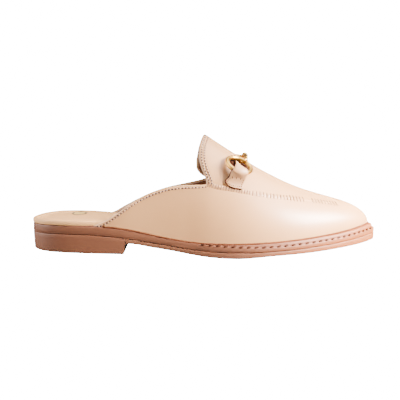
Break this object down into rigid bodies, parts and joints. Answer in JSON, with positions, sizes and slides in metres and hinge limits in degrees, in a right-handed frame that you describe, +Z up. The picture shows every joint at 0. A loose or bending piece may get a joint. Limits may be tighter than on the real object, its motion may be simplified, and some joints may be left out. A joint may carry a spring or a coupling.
{
  "type": "loafer mule",
  "caption": "Backless flat loafer mule, right foot: almond toe, raised tongue, apron seam, metal snaffle bit on leather tabs, padded footbed, stitched welt and low block heel.",
  "frame": {"origin": "centre of the bounding box on the floor, under the middle of the sole", "axes": "+X to the toe, +Y to the medial side of this right shoe, +Z up; the lateral side faces -Y"},
  "size_m": [0.272, 0.0917, 0.0908],
  "materials": {
    "upper_leather": "smooth beige leather, semi gloss",
    "tab_leather": "smooth beige leather, semi gloss",
    "footbed_leather": "soft beige lining leather, matt",
    "sole_tan": "terracotta tan sole, satin edge dressing",
    "bit_metal": "polished pale gold plate"
  },
  "bodies": {
    "root": {"upper": "upper_leather", "insole": "footbed_leather", "midsole": "sole_tan", "outsole": "sole_tan", "heel": "sole_tan", "ring_lateral": "bit_metal", "ring_medial": "bit_metal", "bar_lateral": "bit_metal", "bar_medial": "bit_metal", "centre_link": "bit_metal", "tab_lateral": "tab_leather", "tab_medial": "tab_leather"}
  },
  "joints": []
}
